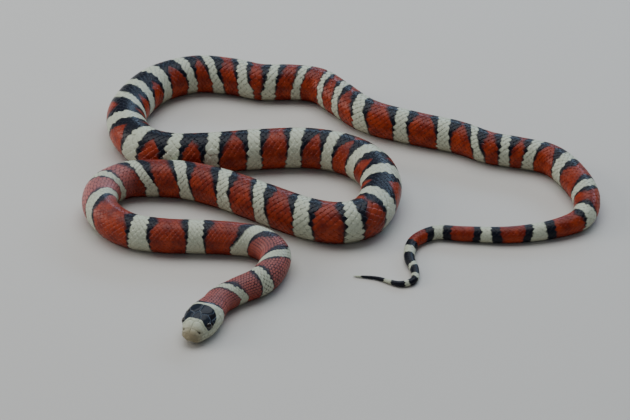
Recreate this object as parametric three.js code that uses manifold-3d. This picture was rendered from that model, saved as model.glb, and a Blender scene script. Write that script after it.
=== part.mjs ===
// A mountain kingsnake lying in loose bends, life size, in millimetres, +Z up.
// The floor is z = 0, and the origin is on the floor under the middle of the snake.
import * as THREE from 'three';
import { mergeVertices } from 'three/addons/utils/BufferGeometryUtils.js';
import Module from 'manifold-3d';

const wasm = await Module();
wasm.setup();

// Driving sizes, in millimetres.
const SKIN_GAP = 0.3;
const NAPE_WIDTH = 10.2;
const BODY_RISE = 0.92;
const HEAD = {
  length: 18.6,
  jawWidth: 12.6,
  jawAt: 5.6,
  cheekWidth: 12.3,
  cheekAt: 9,
  browWidth: 11.1,
  browAt: 12,
  snoutWidth: 7,
  snoutAt: 16.6,
  crown: 9,
  crownAt: 8,
};
const EYE = { radius: 1.3, at: 12.3, across: 4.65, height: 5.5 };
const NOSTRIL = { radius: 0.45, at: 16.3, across: 3.15, height: 4.9 };
const PLATE = { raise: 0.22, groove: 0.3 };

// How far the head leans to the animal's right for each millimetre of height, and how far
// forward of the neck and over the floor the lean comes in.
const LEAN = { most: 0.065, forward: 6, height: 4 };

// The head's outline: [forward, value], from the neck to the snout.
const HEAD_WIDTHS = [
  [0, NAPE_WIDTH], [2.5, 11.5], [HEAD.jawAt, HEAD.jawWidth], [HEAD.cheekAt, HEAD.cheekWidth],
  [HEAD.browAt, HEAD.browWidth], [14.6, 8.7], [HEAD.snoutAt, HEAD.snoutWidth],
  [17.8, 5.6], [18.3, 4.4], [HEAD.length, 3],
];
const HEAD_TOPS = [
  [0, NAPE_WIDTH * BODY_RISE], [4, 9.3], [HEAD.crownAt, HEAD.crown], [HEAD.browAt, 8],
  [14.8, 6.9], [HEAD.snoutAt, 5.9], [17.8, 5], [18.3, 4.5], [HEAD.length, 3.9],
];
const HEAD_BOTTOMS = [
  [0, 0], [13.5, 0], [16, 0.45], [17.6, 1.1], [18.3, 1.9], [HEAD.length, 2.6],
];
const HEAD_SQUARENESS = [[0, 1], [5, 0.9], [10, 0.8], [15, 0.82], [HEAD.length, 1]];

// The line of the mouth seen from the side, from its corner to past the snout. The lower jaw is
// a little narrower and shorter than the upper one.
const MOUTH_LINE = [[5.4, 3.2], [7.4, 2.75], [10.5, 2.4], [15, 2.5], [19.6, 2.85]];
const JAW_INSET = 0.35;

// The way the backbone lies on the floor, from the back of the head to the tail tip.
const ROUTE = [
  [-45.5, -71.5], [-44, -68.5], [-38, -63], [-29.7, -57.3],
  [-26, -51], [-25, -42.5], [-30.5, -35.5], [-40, -33],
  [-51, -32], [-65, -31.5], [-78, -28.5], [-86.5, -21.5],
  [-91, -12], [-90, -2.5], [-82.5, 4], [-72, 5],
  [-60, 3.5], [-46.5, -2], [-29.5, -12.5], [-12.5, -22.5],
  [-1.4, -25], [7.8, -21.3], [12.9, -11.3], [14.2, 1],
  [10.5, 12], [1.5, 20.5], [-13, 25], [-33.5, 24],
  [-53, 21.4], [-67, 21.3], [-76.7, 25.6], [-83.5, 35.2],
  [-86, 47.8], [-83, 60.6], [-75.5, 73.3], [-60.5, 81.5],
  [-46, 80], [-33, 75.5], [-19.8, 75.5], [-9.3, 73],
  [-0.9, 63.5], [10.5, 50], [29, 41], [45.6, 34.7],
  [57.6, 27.3], [69.2, 23.8], [80.2, 19.4], [87.5, 8.2],
  [91.2, -6.4], [88.7, -17.3], [79.7, -23], [62, -27],
  [44, -26.2], [33.5, -25.2], [25.5, -30.7], [23.4, -40],
  [25, -47], [24.5, -52.5], [20, -54.5], [11, -50.5], [3, -49],
];

// How wide the animal is at a distance behind the head.
const GIRTH = [
  [0, NAPE_WIDTH], [10, 10], [27, 11.2], [60, 12.6], [112, 13.6], [147, 14.6], [192, 15.6],
  [240, 15.9], [302, 16.2], [392, 16.4], [452, 15.6], [522, 14.1], [572, 12.9], [604, 12.1],
  [620, 11.1], [634, 8.9], [643, 7.6], [652, 6.9], [670, 6.2], [690, 5.5], [707, 4.4],
  [714, 3.8], [724, 2.7], [734, 1.7], [743, 1], [748, 0.6],
];

// Each length of the animal, and how far behind the head it ends.
const LENGTHS = [
  ['neck', 23], ['trunk_01', 48], ['trunk_02', 94], ['trunk_03', 116],
  ['trunk_04', 140], ['trunk_05', 182], ['trunk_06', 220], ['trunk_07', 244],
  ['trunk_08', 274], ['trunk_09', 304], ['trunk_10', 348], ['trunk_11', 374],
  ['trunk_12', 404], ['trunk_13', 434], ['trunk_14', 464], ['trunk_15', 502],
  ['trunk_16', 542], ['trunk_17', 584], ['trunk_18', 612], ['trunk_19', 634],
  ['tail_1', 658], ['tail_2', 692], ['tail_3', 712], ['tail_4', 728],
  ['tail_tip', Infinity],
];
const STEP = { most: 4.5, least: 1.6, perWidth: 0.36 };
const BODY_SIDES = 20;
const HEAD_SIDES = 28;
const HEAD_RINGS = 20;

// Looks, as the animal shows them from a step away.
const LOOKS = {
  red: { color: 0x8f3a24, roughness: 0.42, metalness: 0 },
  black: { color: 0x14161c, roughness: 0.34, metalness: 0 },
  cream: { color: 0xc9cbb0, roughness: 0.45, metalness: 0 },
  eye: { color: 0x0d0c0b, roughness: 0.12, metalness: 0 },
};

// A smooth value read between pairs of [place, value].
function between(pairs, place) {
  let i = 0;
  while (i < pairs.length - 2 && place > pairs[i + 1][0]) i += 1;
  const slope = (a, b) => (pairs[b][1] - pairs[a][1]) / (pairs[b][0] - pairs[a][0]);
  const ease = (k) => {
    if (k === 0) return slope(0, 1);
    if (k === pairs.length - 1) return slope(k - 1, k);
    const before = slope(k - 1, k);
    const after = slope(k, k + 1);
    return before * after <= 0 ? 0 : (2 * before * after) / (before + after);
  };
  const [x0, y0] = pairs[i];
  const [x1, y1] = pairs[i + 1];
  const run = x1 - x0;
  const t = THREE.MathUtils.clamp((place - x0) / run, 0, 1);
  const rise = y1 - y0;
  const a = ease(i) * run;
  const b = ease(i + 1) * run;
  return y0 + t * (a + t * ((3 * rise - 2 * a - b) + t * (a + b - 2 * rise)));
}

// The outline of one slice: a rounded loaf with a flat belly, standing on the floor.
const LOAF = { middle: 0.47, belly: 1.2 };
function slice(angle, reach, width, height, square = 1) {
  const bend = (v) => Math.sign(v) * Math.abs(v) ** square;
  const middle = LOAF.middle * height;
  const across = (width / 2) * bend(Math.cos(angle));
  const lift = bend(Math.sin(angle));
  const up = lift > 0 ? middle + (height - middle) * lift : middle * (1 + LOAF.belly * lift);
  return [across * reach, middle + (Math.max(up, 0) - middle) * reach];
}

// A closed round bar, with each point put in its place by a function.
function wrap(sides, rings, place) {
  const geometry = new THREE.CylinderGeometry(1, 1, 1, sides, rings);
  const points = geometry.attributes.position;
  const spot = new THREE.Vector3();
  for (let i = 0; i < points.count; i += 1) {
    spot.fromBufferAttribute(points, i);
    const reach = Math.hypot(spot.x, spot.z);
    const angle = Math.atan2(spot.z, spot.x);
    const [x, y, z] = place(spot.y + 0.5, angle, reach);
    points.setXYZ(i, x, y, z);
  }
  return closed(geometry);
}

// One skin of shared points, with fresh normals.
function closed(geometry) {
  geometry.deleteAttribute('normal');
  geometry.deleteAttribute('uv');
  const merged = mergeVertices(geometry, 1e-4);
  merged.computeVertexNormals();
  return merged;
}

// Between three.js geometry and the solids that are joined and cut.
function toSolid(geometry) {
  const merged = closed(geometry.clone());
  const vertProperties = new Float32Array(merged.attributes.position.array);
  const triVerts = new Uint32Array(merged.index.array);
  return new wasm.Manifold(new wasm.Mesh({ numProp: 3, vertProperties, triVerts }));
}

function toGeometry(solid) {
  const pieces = solid.decompose().sort((a, b) => b.volume() - a.volume());
  const mesh = pieces[0].getMesh();
  const geometry = new THREE.BufferGeometry();
  geometry.setAttribute('position', new THREE.BufferAttribute(mesh.vertProperties, 3));
  geometry.setIndex(new THREE.BufferAttribute(mesh.triVerts, 1));
  geometry.computeVertexNormals();
  return geometry;
}

function named(name, geometry, look) {
  const mesh = new THREE.Mesh(geometry, new THREE.MeshStandardMaterial(LOOKS[look]));
  mesh.name = name;
  return mesh;
}

// The backbone's curve over the floor.
const backbone = new THREE.CatmullRomCurve3(
  ROUTE.map(([x, y]) => new THREE.Vector3(x, y, 0)),
  false,
  'centripetal',
);
backbone.arcLengthDivisions = 2000;
const BODY_LENGTH = backbone.getLength();

// One length of the neck, trunk or tail, between two distances behind the head.
function bodyLength(from, to) {
  const start = from + SKIN_GAP / 2;
  const end = Math.min(to - SKIN_GAP / 2, BODY_LENGTH);
  const width = between(GIRTH, (start + end) / 2);
  const step = THREE.MathUtils.clamp(width * STEP.perWidth, STEP.least, STEP.most);
  const rings = Math.max(3, Math.round((end - start) / step));
  return wrap(BODY_SIDES, rings, (along, angle, reach) => {
    const station = start + along * (end - start);
    const u = Math.min(station / BODY_LENGTH, 1);
    const spot = backbone.getPointAt(u);
    const way = backbone.getTangentAt(u);
    const girth = between(GIRTH, station);
    const [right, up] = slice(angle, reach, girth, girth * BODY_RISE);
    return [spot.x + way.y * right, spot.y - way.x * right, up];
  });
}

// The head is made with its back at x = 0, its snout along +X and its chin on the floor.
function headSkin(extra, narrower = 0) {
  return toSolid(wrap(HEAD_SIDES, HEAD_RINGS, (along, angle, reach) => {
    const x = HEAD.length * Math.sin((along * Math.PI) / 2);
    const width = between(HEAD_WIDTHS, x) + 2 * (extra - narrower);
    const bottom = between(HEAD_BOTTOMS, x);
    const height = between(HEAD_TOPS, x) + extra - bottom;
    const [right, up] = slice(angle, reach, width, height, between(HEAD_SQUARENESS, x));
    const nose = extra * (x / HEAD.length) ** 4;
    return [x + nose, -right, bottom + up];
  }));
}

// A flat outline pushed straight through the head, either down through it or across it.
const BLOCK = 30;
function prism(outline, down, from = -BLOCK / 2) {
  const shape = new THREE.Shape(outline.map(([x, y]) => new THREE.Vector2(x, y)));
  const geometry = new THREE.ExtrudeGeometry(shape, { depth: BLOCK, bevelEnabled: false });
  geometry.translate(0, 0, from);
  if (!down) geometry.rotateX(Math.PI / 2);
  return toSolid(geometry);
}

// The side view of all that lies under the line of the mouth.
const UNDER_FLOOR = -2;
function underMouth(gap) {
  const line = MOUTH_LINE.map(([x, z]) => [x, z - gap]);
  line[0][0] += gap;
  const back = line[0][0];
  const front = line[line.length - 1][0];
  return prism([[back, UNDER_FLOOR], ...line, [front, UNDER_FLOOR]].reverse(), false);
}

// The plates of the crown on the animal's left, seen from above, as [forward, across].
const half = PLATE.groove / 2;
const CROWN_PLATES = [
  [[17.9, half], [17.8, 1.5], [17.2, 2.6], [16.6, 2.5], [16.5, half]],
  [[16.2, half], [16.3, 2.4], [16, 3.1], [14.9, 3.8], [14, 2.7], [13.7, 1.2], [14, half]],
  [[13.3, 1.7], [13.6, 2.8], [14, 3.8], [12.4, 4.6], [11, 4.6], [10.1, 3.3], [10.7, 1.6]],
  [[10.3, 1.4], [9.7, 3.1], [8.4, 4.3], [6.2, 4.2], [4.5, 2.6], [4.2, half], [9.2, half]],
];
const BROW_PLATE = [[13.8, 0], [13.4, 1.3], [11.4, 1.25], [9.5, 0], [11.4, -1.25], [13.4, -1.3]];
const CROWN_FLOOR = 4.6;

// The lip plates, cut by leaning lines across the lip at these places along the head.
const UPPER_LIP = { cuts: [17.7, 16.6, 15.3, 13.9, 12, 10, 7.9, 5.8], edge: 2.75, height: 1.2 };
const LOWER_LIP = { cuts: [17.4, 16, 14.4, 12.6, 10.6, 8.6, 6.6], edge: 2.1, height: -1.1 };
const LIP_LEAN = 0.25;

// The plates of the cheek, seen from the side, as [forward, up]: the nostril's plate, the one
// behind it, the one before the eye, the two behind the eye, and the temples.
const CHEEK_PLATES = [
  [[17.4, 4.25], [17.3, 5.1], [15.6, 5.6], [15.6, 4.25]],
  [[15.3, 4.25], [15.3, 5.5], [14.5, 5.7], [14.4, 4.25]],
  [[14.15, 4.3], [14.2, 5.8], [13.6, 6.3], [13.5, 4.5]],
  [[10.4, 5.3], [10.6, 6.5], [9.9, 6.6], [9.5, 5.6]],
  [[10.4, 5], [9.5, 5.3], [9.6, 4.3], [10.5, 4.25]],
  [[9.2, 5.5], [9.5, 6.5], [7.2, 6.7], [6.8, 5.6]],
  [[9.2, 5.2], [6.8, 5.3], [6.7, 4.25], [9.3, 4.25]],
  [[6.5, 5.6], [6.8, 6.6], [4.9, 6.3], [4.6, 5.3]],
];
const NOSE_PLATE = { at: 18.9, across: 1.9, deep: 1.3, up: 3.7, tall: 1.5 };

function lipPlates({ cuts, edge, height }) {
  const plates = [];
  for (let i = 0; i < cuts.length - 1; i += 1) {
    const front = cuts[i] - half;
    const back = cuts[i + 1] + half;
    const far = edge + height;
    const outline = [[back, edge], [front, edge], [front - LIP_LEAN, far], [back - LIP_LEAN, far]];
    plates.push(prism(height > 0 ? outline : outline.reverse(), false));
  }
  return plates;
}

function union(solids) {
  return solids.reduce((whole, solid) => whole.add(solid));
}

const BALL = { around: 16, down: 10 };
function ball(radius, { at, across, height }, side) {
  const geometry = new THREE.SphereGeometry(radius, BALL.around, BALL.down);
  geometry.rotateX(Math.PI / 2);
  geometry.translate(at, side * across, height);
  return geometry;
}

function makeHead() {
  const mirrored = (outline) => outline.map(([x, y]) => [x, -y]).reverse();
  const crown = [...CROWN_PLATES, ...CROWN_PLATES.map(mirrored), BROW_PLATE]
    .map((outline) => prism(outline, true, CROWN_FLOOR));
  const cheeks = CHEEK_PLATES.map((outline) => prism(outline, false));
  const nose = new THREE.BoxGeometry(NOSE_PLATE.deep, NOSE_PLATE.across, NOSE_PLATE.tall);
  nose.translate(NOSE_PLATE.at, 0, NOSE_PLATE.up);
  const plates = union([...crown, ...lipPlates(UPPER_LIP), ...cheeks, toSolid(nose)]);
  let head = headSkin(0).add(headSkin(PLATE.raise).intersect(plates));
  head = head.subtract(underMouth(0));
  for (const side of [-1, 1]) {
    head = head.subtract(toSolid(ball(EYE.radius + SKIN_GAP, EYE, side)));
    head = head.subtract(toSolid(ball(NOSTRIL.radius, NOSTRIL, side)));
  }
  return head;
}

function makeLowerJaw() {
  const raised = headSkin(PLATE.raise, JAW_INSET).intersect(union(lipPlates(LOWER_LIP)));
  const jaw = headSkin(0, JAW_INSET).add(raised).translate(-JAW_INSET, 0, 0);
  return jaw.intersect(underMouth(SKIN_GAP));
}

// A part of the head, tipped to the animal's right with its underside still flat on the floor.
function leaned(geometry) {
  const points = geometry.attributes.position;
  for (let i = 0; i < points.count; i += 1) {
    const y = points.getY(i);
    const z = points.getZ(i);
    const lean = LEAN.most * THREE.MathUtils.smoothstep(points.getX(i), 0, LEAN.forward);
    points.setY(i, y - lean * z);
    points.setZ(i, z + lean * y * Math.min(z / LEAN.height, 1));
  }
  geometry.computeVertexNormals();
  return geometry;
}

const snake = new THREE.Group();

// The head faces away from the neck, along the line in which the backbone starts.
const nape = backbone.getPointAt(0);
const napeWay = backbone.getTangentAt(0);
const headGroup = new THREE.Group();
headGroup.position.set(nape.x - (napeWay.x * SKIN_GAP) / 2, nape.y - (napeWay.y * SKIN_GAP) / 2, 0);
headGroup.rotation.z = Math.atan2(-napeWay.y, -napeWay.x);
headGroup.add(named('head', leaned(toGeometry(makeHead())), 'black'));
headGroup.add(named('lower_jaw', leaned(toGeometry(makeLowerJaw())), 'cream'));
for (const [name, side] of [['eye_left', 1], ['eye_right', -1]]) {
  headGroup.add(named(name, leaned(closed(ball(EYE.radius, EYE, side))), 'eye'));
}
snake.add(headGroup);

// The neck, the trunk and the tail follow one another along the backbone.
let from = 0;
for (const [name, to] of LENGTHS) {
  const look = name === 'tail_tip' ? 'black' : 'red';
  snake.add(named(name, bodyLength(from, to), look));
  from = to;
}

export default snake;
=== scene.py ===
"""Looks of a mountain kingsnake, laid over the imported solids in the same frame, in metres.

One skin covers the head, trunk and tail, and carries the head's plates as relief.
Overlapping scales, belly plates and the two eyes lie over it.
"""
import math

import bmesh
import bpy
import numpy as np
from mathutils import Matrix, Vector


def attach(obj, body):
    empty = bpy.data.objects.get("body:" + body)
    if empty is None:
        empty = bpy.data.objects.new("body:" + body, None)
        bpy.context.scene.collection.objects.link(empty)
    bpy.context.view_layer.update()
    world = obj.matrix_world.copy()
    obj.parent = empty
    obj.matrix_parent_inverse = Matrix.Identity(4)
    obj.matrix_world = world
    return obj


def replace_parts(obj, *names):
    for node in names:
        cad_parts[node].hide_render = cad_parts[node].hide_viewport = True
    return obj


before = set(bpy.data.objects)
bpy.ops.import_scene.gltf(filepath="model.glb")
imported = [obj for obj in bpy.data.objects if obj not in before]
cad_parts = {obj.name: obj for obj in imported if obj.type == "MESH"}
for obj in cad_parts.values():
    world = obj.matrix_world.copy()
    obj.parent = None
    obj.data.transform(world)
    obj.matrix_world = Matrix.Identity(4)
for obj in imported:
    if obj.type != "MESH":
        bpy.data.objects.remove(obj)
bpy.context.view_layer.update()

MM = 0.001

# Sizes are in millimetres. The backbone's way over the floor, and how wide the animal is at each
# place behind the head.
ROUTE = [
    (-45.5, -71.5), (-44, -68.5), (-38, -63), (-29.7, -57.3), (-26, -51), (-25, -42.5),
    (-30.5, -35.5), (-40, -33), (-51, -32), (-65, -31.5), (-78, -28.5), (-86.5, -21.5),
    (-91, -12), (-90, -2.5), (-82.5, 4), (-72, 5), (-60, 3.5), (-46.5, -2), (-29.5, -12.5),
    (-12.5, -22.5), (-1.4, -25), (7.8, -21.3), (12.9, -11.3), (14.2, 1), (10.5, 12),
    (1.5, 20.5), (-13, 25), (-33.5, 24), (-53, 21.4), (-67, 21.3), (-76.7, 25.6),
    (-83.5, 35.2), (-86, 47.8), (-83, 60.6), (-75.5, 73.3), (-60.5, 81.5), (-46, 80),
    (-33, 75.5), (-19.8, 75.5), (-9.3, 73), (-0.9, 63.5), (10.5, 50), (29, 41), (45.6, 34.7),
    (57.6, 27.3), (69.2, 23.8), (80.2, 19.4), (87.5, 8.2), (91.2, -6.4), (88.7, -17.3),
    (79.7, -23), (62, -27), (44, -26.2), (33.5, -25.2), (25.5, -30.7), (23.4, -40),
    (25, -47), (24.5, -52.5), (20, -54.5), (11, -50.5), (3, -49),
]
GIRTH = [
    (0, 10.2), (10, 10), (27, 11.2), (60, 12.6), (112, 13.6), (147, 14.6), (192, 15.6),
    (240, 15.9), (302, 16.2), (392, 16.4), (452, 15.6), (522, 14.1), (572, 12.9), (604, 12.1),
    (620, 11.1), (634, 8.9), (643, 7.6), (652, 6.9), (670, 6.2), (690, 5.5), (707, 4.4),
    (714, 3.8), (724, 2.7), (734, 1.7), (743, 1), (748, 0.6),
]
# The body's height as a share of its width, where it is widest, and how flat the belly is.
BODY_RISE = 0.92
LOAF_MIDDLE = 0.47
LOAF_BELLY = 1.2
# The head, as (forward of its joint, size): its widths, its top and bottom, and how square it is.
HEAD_LENGTH = 18.8
HEAD_WIDTHS = [
    (0, 10.2), (2.5, 11.5), (5.6, 12.6), (9, 12.3), (12, 11.1), (14.6, 8.7), (16.6, 7),
    (17.8, 5.6), (18.3, 4.4), (18.6, 3), (18.75, 1.5), (18.8, 0.12),
]
HEAD_TOPS = [
    (0, 9.38), (4, 9.3), (8, 9), (12, 8), (14.8, 6.9), (16.6, 5.9), (17.8, 5),
    (18.3, 4.5), (18.6, 3.95), (18.75, 3.6), (18.8, 3.3),
]
HEAD_BOTTOMS = [
    (0, 0), (13.5, 0), (16, 0.45), (17.6, 1.1), (18.3, 1.9), (18.6, 2.6), (18.75, 2.95),
    (18.8, 3.2),
]
HEAD_SQUARENESS = [(0, 1), (5, 0.9), (10, 0.8), (15, 0.82), (18.8, 1)]
# How far the head leans to the animal's right for each millimetre of height, and how far
# forward of the neck and over the floor the lean comes in.
LEAN, LEAN_FORWARD, LEAN_HEIGHT = 0.065, 6.0, 4.0
VENT = 634.0

# How far the skin lies under the solids' outside in its coat, how far the head's plates stand over
# that outside and swell towards their middles, and how far a groove reaches in from a plate's edge.
SKIN_DEPTH = 0.36
PLATE_RAISE = 0.16
PLATE_PUFF = 0.05
GROOVE = 0.15
# The bare cone that ends the tail, and how much thinner it gets towards its point.
CONE_LENGTH = 1.7
CONE_TAPER = 0.26

# The eye and the nostril: their places and the way the eye looks, as (forward, across, up).
EYE_AT = (12.3, 4.65, 5.5)
EYE_RADIUS = 1.3
EYE_OPENING = 1.12
EYE_FLATNESS = 0.82
EYE_LOOK = (0.22, 0.95, 0.12)
NOSTRIL_AT = (16.3, 3.2, 4.95)
NOSTRIL_RADIUS = 0.34

# The plates of the head's left side: crown plates as (forward, across) seen from above,
# cheek plates as (forward, up) seen from the side.
CROWN_PLATES = {
    "internasal": [(17.9, 0.08), (17.8, 1.5), (17.2, 2.6), (16.5, 2.45), (16.36, 0.08)],
    "prefrontal": [
        (16.3, 0.08), (16.44, 2.45), (16, 3.2), (14.9, 3.9), (13.9, 2.75), (13.6, 1.25), (13.95, 0.08),
    ],
    "brow": [(13.4, 1.65), (13.7, 2.8), (14.1, 3.9), (12.4, 4.7), (11, 4.7), (10.0, 3.3), (10.6, 1.55)],
    "parietal": [(10.4, 1.35), (9.8, 3.2), (8.4, 4.4), (6.2, 4.3), (4.5, 2.6), (4.15, 0.1), (9.3, 0.1)],
}
FRONTAL_PLATE = [(13.75, 0), (13.4, 1.4), (11.4, 1.35), (9.6, 0), (11.4, -1.35), (13.4, -1.4)]
CHEEK_PLATES = {
    "nasal": [(17.5, 4.15), (17.4, 5.05), (15.65, 5.5), (15.6, 4.15)],
    "loreal": [(15.4, 4.15), (15.45, 5.5), (14.35, 5.75), (14.3, 4.3)],
    "preocular": [(14.15, 4.3), (14.2, 5.8), (13.5, 6.3), (13.3, 4.5)],
    "upper_postocular": [(10.5, 5.35), (10.7, 6.6), (9.9, 6.75), (9.4, 5.7)],
    "lower_postocular": [(10.5, 5.15), (9.4, 5.5), (9.45, 4.3), (10.6, 4.15)],
    "first_temporal": [(9.2, 5.6), (9.6, 6.7), (7.2, 6.9), (6.8, 5.7)],
    "second_temporal": [(9.2, 5.35), (6.8, 5.45), (6.7, 4.15), (9.3, 4.15)],
    "last_temporal": [(6.55, 5.7), (6.85, 6.75), (4.9, 6.4), (4.5, 5.3), (6.5, 4.6)],
}
CHIN_PLATES = {
    "front_chin": [(15.6, 0.1), (15.4, 1.7), (12.2, 2.2), (11.4, 0.1)],
    "rear_chin": [(11.2, 0.15), (12.0, 2.3), (9.4, 2.9), (8.0, 1.2)],
}
# How far forward the seams between the lip plates lie, the plates' height, how far their seams
# lean and half the groove there, and where the plate on the snout's tip begins.
UPPER_LIP_CUTS = [17.75, 16.7, 15.3, 13.9, 12.1, 10.1, 7.9, 5.7]
LOWER_LIP_CUTS = [17.5, 16.1, 14.5, 12.7, 10.7, 8.6, 6.5]
LIP_HEIGHT = 1.25
LIP_LEAN = 0.22
LIP_GROOVE = 0.1
NOSE_PLATE_FROM = 17.6
# The line of the mouth, as (forward, up), its corner, how deep it is cut, and how far the lower
# jaw is set in.
MOUTH_LINE = [(5.4, 3.2), (7.4, 2.75), (10.5, 2.4), (15, 2.5), (18.8, 2.85)]
MOUTH_CORNER = 5.4
MOUTH_DEPTH = 0.4
JAW_INSET = 0.3

# Rows of scales on each side of the back, one scale's step along the body, and how much of its
# own room a scale fills: on the bent neck the dark skin shows between them. The net is how dark
# the rims of the scales are.
ROWS_EACH_SIDE = [(-6, 12), (560, 12), (640, 9.5), (680, 7), (720, 4.5), (745, 3)]
BACK_SHARE = 0.755
STEP = [
    (-6, 1.08), (10, 1.12), (35, 1.22), (60, 1.6), (90, 1.85), (120, 2), (240, 2.3), (420, 2.3),
    (560, 2.1), (640, 1.8), (690, 1.5), (725, 1), (745, 0.7),
]
FILL = [
    (-6, 0.74), (8, 0.7), (42, 0.7), (58, 0.92), (106, 0.93), (114, 0.8), (138, 0.82), (146, 0.97),
    (745, 1),
]
NET = [(-6, 1), (42, 1), (58, 0.35), (104, 0.3), (114, 0.75), (138, 0.7), (146, 0.12), (745, 0.08)]
# How pale and greyish the neck and the first bend are: partly the stretched skin's own paleness, partly a
# painted sheen.
PALENESS_AND_SHEEN = [
    (-6, 0.36), (30, 0.34), (45, 0.25), (60, 0.04), (100, 0.03), (110, 0.15), (117, 0.52),
    (127, 0.5), (135, 0.36), (143, 0.04), (745, 0),
]
# How the net and the paleness with its painted sheen fade down the sides: from one turn to another, by so
# much.
NET_FADE, PALENESS_AND_SHEEN_FADE = (0.35, 0.6, 0.5), (0.3, 0.6, 0.7)

# Every pale ring of the body and tail, as (place on the back behind the head, slant, breadth,
# black before it, black after it). The slant is how far back the ring falls towards the left.
# The black is widest on the back and thins down the sides, but not on the end of the tail.
RINGS = [
    (6.8, 9.5, 3, 0.8, 2.6), (20.7, 0, 3, 1.7, 1.6), (31.1, 12, 3.7, 1.3, 3),
    (48, -11, 5.2, 4.6, 4.2), (70.4, 0, 5.4, 4.2, 3.2), (90.7, 1.5, 5.4, 4.3, 4),
    (115, 12, 4.2, 3.4, 1), (127.7, 6, 3.1, 1, 1.3), (140.2, 14, 3.8, 2.8, 4.3),
    (157.5, 9.5, 4.6, 2.8, 4.5), (176.4, 8, 4.8, 4.5, 4), (192.2, 10, 4.6, 2.4, 5),
    (211, 6, 5, 3.7, 5.4), (228.3, 0.5, 3.9, 3.6, 5.4), (242.2, -3.5, 5, 4, 7.6),
    (257.7, 1, 5.6, 7.6, 5.5), (272.1, -4, 5.2, 6.4, 5.1), (288.1, -2, 4.4, 6.4, 4.7),
    (302.9, -3.5, 5, 6.6, 3.4), (319.9, -1.5, 4.6, 4.4, 5.2), (335.4, -4, 4.4, 5.7, 7.4),
    (349.9, -3, 4.1, 6, 7.4), (363.8, -2, 4.6, 6.2, 7.2), (377.7, -6, 4.9, 6, 7),
    (391.8, -13, 3.9, 7.4, 6.6), (402.3, -6, 4.1, 7, 7), (414.5, 0.5, 5.4, 7.4, 4.8),
    (427.8, 6, 4.1, 5.8, 5), (439.1, 12.5, 3.7, 3, 5.3), (454.2, 8, 4.1, 3.2, 2.8),
    (468.1, -5, 3.3, 4.2, 3.4), (480.4, -6, 3.1, 1.8, 1.3), (491.2, 8.5, 2.8, 1, 2.2),
    (501.1, 8.5, 3.1, 2, 3.6), (513.3, 8.5, 4.4, 3.6, 4.5), (532.3, 3, 4.7, 5, 4.2),
    (549.3, 4, 4.6, 3.6, 5.6), (562.3, 10, 2.8, 3.8, 5), (575.6, 1, 3, 3.6, 4.6),
    (587.5, -4, 3.6, 3.2, 3.6), (602.2, 4.5, 4.7, 4.6, 4.4), (619.4, 6, 4, 3.2, 2.8),
    (633.2, -1.5, 4, 2.6, 3.2), (652.8, -1, 4.6, 3.4, 3.2), (672.4, 0.5, 3.5, 3.5, 2.8),
    (690, -1, 3.8, 3.4, 3.4), (707.5, -1, 3.7, 3.3, 7.2), (715.7, 1.5, 1.6, 7.5, 7.5),
    (721.5, -1, 1.7, 7.5, 7.5), (726.8, 0.5, 1.3, 7.5, 7.5), (733.6, 0, 2.6, 9, 9),
    (745.9, 0, 4.2, 9, 0),
]

# From the middle of the back (0) to the middle of the belly (1): the share of the black that is
# left, and how much broader the pale rings get. A ring's slant ends at the bend.
BLACK_FALL = [
    (0, 1), (0.1, 0.78), (0.2, 0.52), (0.3, 0.34), (0.4, 0.2), (0.5, 0.11), (0.62, 0.06), (1, 0.03),
]
RING_FLARE = [(0, 1), (0.3, 1), (0.5, 1.2), (0.65, 1.32), (1, 1.35)]
RING_BEND = 0.5
# How dusky the red is on the middle of the back, and how far down the sides that reaches.
DUSK, DUSK_REACH = 0.28, 0.24
# The thin black line that edges a ring all the way down. From this place on the black keeps its
# breadth instead.
THIN_EDGE, TAIL_BLACK = 0.15, 645
# Half the soft edge between two colours, and how much softer the black's outer edge is on the back.
SOFT, BLACK_BLUR, BLUR_REACH = 0.12, 0.9, 0.4

# The head's markings, as (turn, how far forward of the joint): the black cap's back and front,
# the back of the pale band behind it, and how broad the black behind that band is.
CAP_BACK = [
    (0, 6.4), (0.1, 6.35), (0.2, 6.7), (0.3, 7.6), (0.36, 8.7), (0.4, 10), (0.43, 11.6), (0.46, 13.4),
]
CAP_FRONT = [(0, 12.8), (0.1, 12.65), (0.16, 12.8), (0.22, 13.3), (0.3, 13.75), (0.4, 13.7), (0.46, 13.2)]
NAPE_BACK = [
    (-0.75, 3.4), (-0.4, 4.3), (-0.2, 5.2), (-0.05, 5.4), (0.1, 5), (0.2, 4.3), (0.3, 3.8), (0.4, 3.4),
    (0.75, 3.2),
]
NAPE_BLACK = [
    (-0.75, 0.8), (-0.3, 2), (-0.1, 1.1), (0, 0.9), (0.1, 1.1), (0.2, 0.9), (0.4, 0.3), (0.75, 0.2),
]
# Where the brown tint of the snout comes in, and how brown the snout and the lips are.
TAN_FROM, TAN_TO = 13.5, 18.5
SNOUT_TAN, LIP_TAN = 0.7, 0.3

# The skin's mesh: its sides on the head and on the body, the body's step, the collar forward of
# the joint where the two parts are bridged, and how near to it their rims lie.
HEAD_SIDES, BODY_SIDES, SKIN_STEP = 288, 48, 1.3
COLLAR, COLLAR_GAP = 3.0, 0.8
# The skin's map: the head fills the left half and the body, in rows, the right half. The map is
# split at this place forward of the joint. Then its margin, the breadth of a half and a row's
# margin, and how large the patch of one scale is on a map of scales.
MAP_SPLIT, MAP_ROWS = 3.5, 12
MAP_EDGE, MAP_HALF, MAP_ROW_EDGE = 0.01, 0.47, 0.06
PATCH = 0.003
# How finely the surface is laid out: steps between two points of the route, rings on the head and
# on the body, and places round a ring.
ROUTE_STEPS, HEAD_RINGS, BODY_RINGS, PLACES_ROUND = 60, 190, 1490, 321

# A back scale's outline, as (along, half its width), and how round its tip is.
SCALE_OUTLINE = [
    (0, 0.3), (0.18, 0.72), (0.38, 0.97), (0.55, 1.0), (0.68, 0.93), (0.8, 0.74), (0.92, 0.46), (1, 0.22),
]
SCALE_TIP = 0.07
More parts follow.
